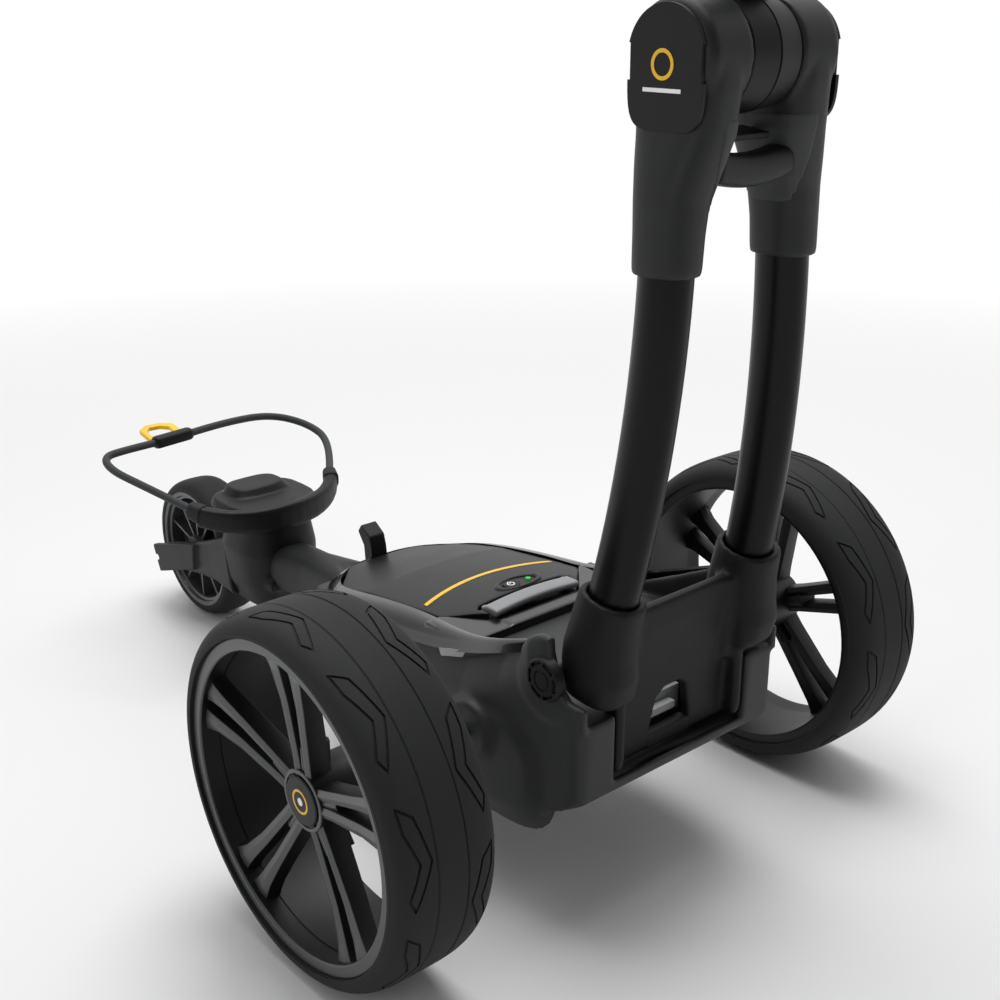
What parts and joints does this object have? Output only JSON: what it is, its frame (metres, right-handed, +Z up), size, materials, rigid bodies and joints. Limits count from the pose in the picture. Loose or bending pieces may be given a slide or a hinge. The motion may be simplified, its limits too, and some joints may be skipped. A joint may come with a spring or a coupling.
{
  "type": "electric golf trolley",
  "caption": "Electric golf trolley with large spoked drive wheels, small front wheel, folding oval-tube frame, tray-mounted battery and elastic bag strap.",
  "frame": {"origin": "on the ground, under the middle of the trolley's bounding box", "axes": "+X to the right, +Y forward towards the front wheel, +Z up; the middle plane is X = 0"},
  "size_m": [0.59, 1.1034, 1.0441],
  "materials": {
    "black_plastic": "satin black moulded plastic",
    "dark_plastic": "charcoal moulded plastic",
    "gloss_black": "gloss black moulded trim",
    "rim_grey": "graphite painted plastic rim",
    "tyre": "matte rubber tread",
    "tube_black": "satin black anodised aluminium tube",
    "soft_grey": "soft-touch grey pad",
    "rubber": "black rubber",
    "handle_grey": "mid-grey plastic",
    "yellow": "yellow plastic",
    "cord": "woven elastic strap",
    "steel": "machined steel",
    "aluminium": "cast aluminium",
    "board": "green circuit board",
    "cells": "wrapped cells",
    "lens": "dark display window",
    "green_light": "green indicator"
  },
  "bodies": {
    "chassis": {"chassis_shell": "dark_plastic", "tray_lip": "gloss_black", "fold_pins": "steel", "control_board": "board", "battery_socket": "black_plastic", "belly_screws": "steel", "motor_can": "steel", "gearbox_case": "aluminium", "axle_bearings": "steel", "front_spine": "dark_plastic", "fold_hook": "dark_plastic", "front_column": "black_plastic", "front_fork": "black_plastic", "front_axle": "steel", "bag_cradle": "black_plastic", "cradle_ends": "rubber", "bag_strap": "cord", "strap_clip": "black_plastic", "strap_loop": "yellow"},
    "frame": {"yoke": "black_plastic", "left_tube": "tube_black", "right_tube": "tube_black", "left_head_cheek": "black_plastic", "right_head_cheek": "black_plastic", "left_head_cover": "black_plastic", "right_head_cover": "black_plastic", "head_saddle": "soft_grey", "head_pin": "steel"},
    "handle": {"pivot_barrel": "black_plastic", "upper_column": "tube_black", "upper_bag_support": "black_plastic", "support_pads": "rubber", "handle_bar": "tube_black", "display_housing": "black_plastic", "display_lens": "lens", "hand_grips": "rubber"},
    "speed_dial": {"speed_dial": "black_plastic"},
    "handle_button": {"handle_button": "dark_plastic"},
    "lower_latch": {"lower_latch": "handle_grey"},
    "upper_latch": {"upper_latch": "dark_plastic"},
    "left_wheel": {"left_tyre": "tyre", "left_rim": "rim_grey", "left_hub_cap": "black_plastic"},
    "right_wheel": {"right_tyre": "tyre", "right_rim": "rim_grey", "right_hub_cap": "black_plastic"},
    "axle": {"axle_shaft": "steel", "final_gear": "steel"},
    "rotor": {"motor_rotor": "steel", "motor_pinion": "steel"},
    "front_wheel": {"front_tyre": "tyre", "front_rim": "rim_grey", "front_bearings": "steel"},
    "battery": {"battery_case": "dark_plastic", "battery_lid": "dark_plastic", "battery_light": "green_light", "battery_cells": "cells"},
    "battery_handle": {"battery_handle": "handle_grey"},
    "battery_button": {"battery_button": "dark_plastic"}
  },
  "joints": [
    {"name": "main_fold", "type": "hinge", "parent": "chassis", "child": "frame", "pos_m": [0, -0.244, 0.224], "axis": [-1, 0, 0], "range_deg": [0, 88]},
    {"name": "handle_fold", "type": "hinge", "parent": "frame", "child": "handle", "pos_m": [0, -0.3, 0.658], "axis": [1, 0, 0], "range_deg": [0, 128]},
    {"name": "right_wheel_spin", "type": "hinge", "parent": "chassis", "child": "right_wheel", "pos_m": [0.25, -0.158, 0.147], "axis": [-1, 0, 0], "continuous": true},
    {"name": "left_wheel_spin", "type": "hinge", "parent": "chassis", "child": "left_wheel", "pos_m": [-0.25, -0.158, 0.147], "axis": [-1, 0, 0], "continuous": true},
    {"name": "axle_spin", "type": "hinge", "parent": "chassis", "child": "axle", "pos_m": [0, -0.158, 0.147], "axis": [-1, 0, 0], "continuous": true},
    {"name": "motor_spin", "type": "hinge", "parent": "chassis", "child": "rotor", "pos_m": [0, -0.1976, 0.133], "axis": [-1, 0, 0], "continuous": true},
    {"name": "front_wheel_spin", "type": "hinge", "parent": "chassis", "child": "front_wheel", "pos_m": [0, 0.4755, 0.0823], "axis": [-1, 0, 0], "continuous": true},
    {"name": "battery_lift", "type": "slide", "parent": "chassis", "child": "battery", "axis": [0, 0, -1], "range_m": [-0.12, 0]},
    {"name": "battery_handle_turn", "type": "hinge", "parent": "battery", "child": "battery_handle", "pos_m": [0, -0.0925, 0.21], "axis": [-1, 0, 0], "range_deg": [0, 70]},
    {"name": "battery_button_press", "type": "slide", "parent": "battery", "child": "battery_button", "axis": [0, 0, -1], "range_m": [0, 0.0015], "stiffness_N_per_m": 400, "springref_m": -0.0005},
    {"name": "speed_dial_turn", "type": "hinge", "parent": "handle", "child": "speed_dial", "pos_m": [0, -0.52993, 1.0317], "axis": [0, -0.5736, 0.8192], "continuous": true},
    {"name": "handle_button_press", "type": "slide", "parent": "handle", "child": "handle_button", "axis": [0, 0.8192, 0.5736], "range_m": [0, 0.0015], "stiffness_N_per_m": 400, "springref_m": -0.0005},
    {"name": "lower_latch_lift", "type": "slide", "parent": "frame", "child": "lower_latch", "axis": [0, 0, 1], "range_m": [0, 0.008], "stiffness_N_per_m": 600, "springref_m": -0.002},
    {"name": "upper_latch_turn", "type": "hinge", "parent": "frame", "child": "upper_latch", "pos_m": [0, -0.296, 0.609], "axis": [1, 0, 0], "range_deg": [0, 3], "stiffness_Nm_per_rad": 0.4, "springref_deg": -2.86}
  ],
  "couplings": [
    {"joint": "left_wheel_spin", "follows": "right_wheel_spin", "ratio": 1},
    {"joint": "axle_spin", "follows": "right_wheel_spin", "ratio": 1},
    {"joint": "motor_spin", "follows": "right_wheel_spin", "ratio": -3.6667}
  ]
}
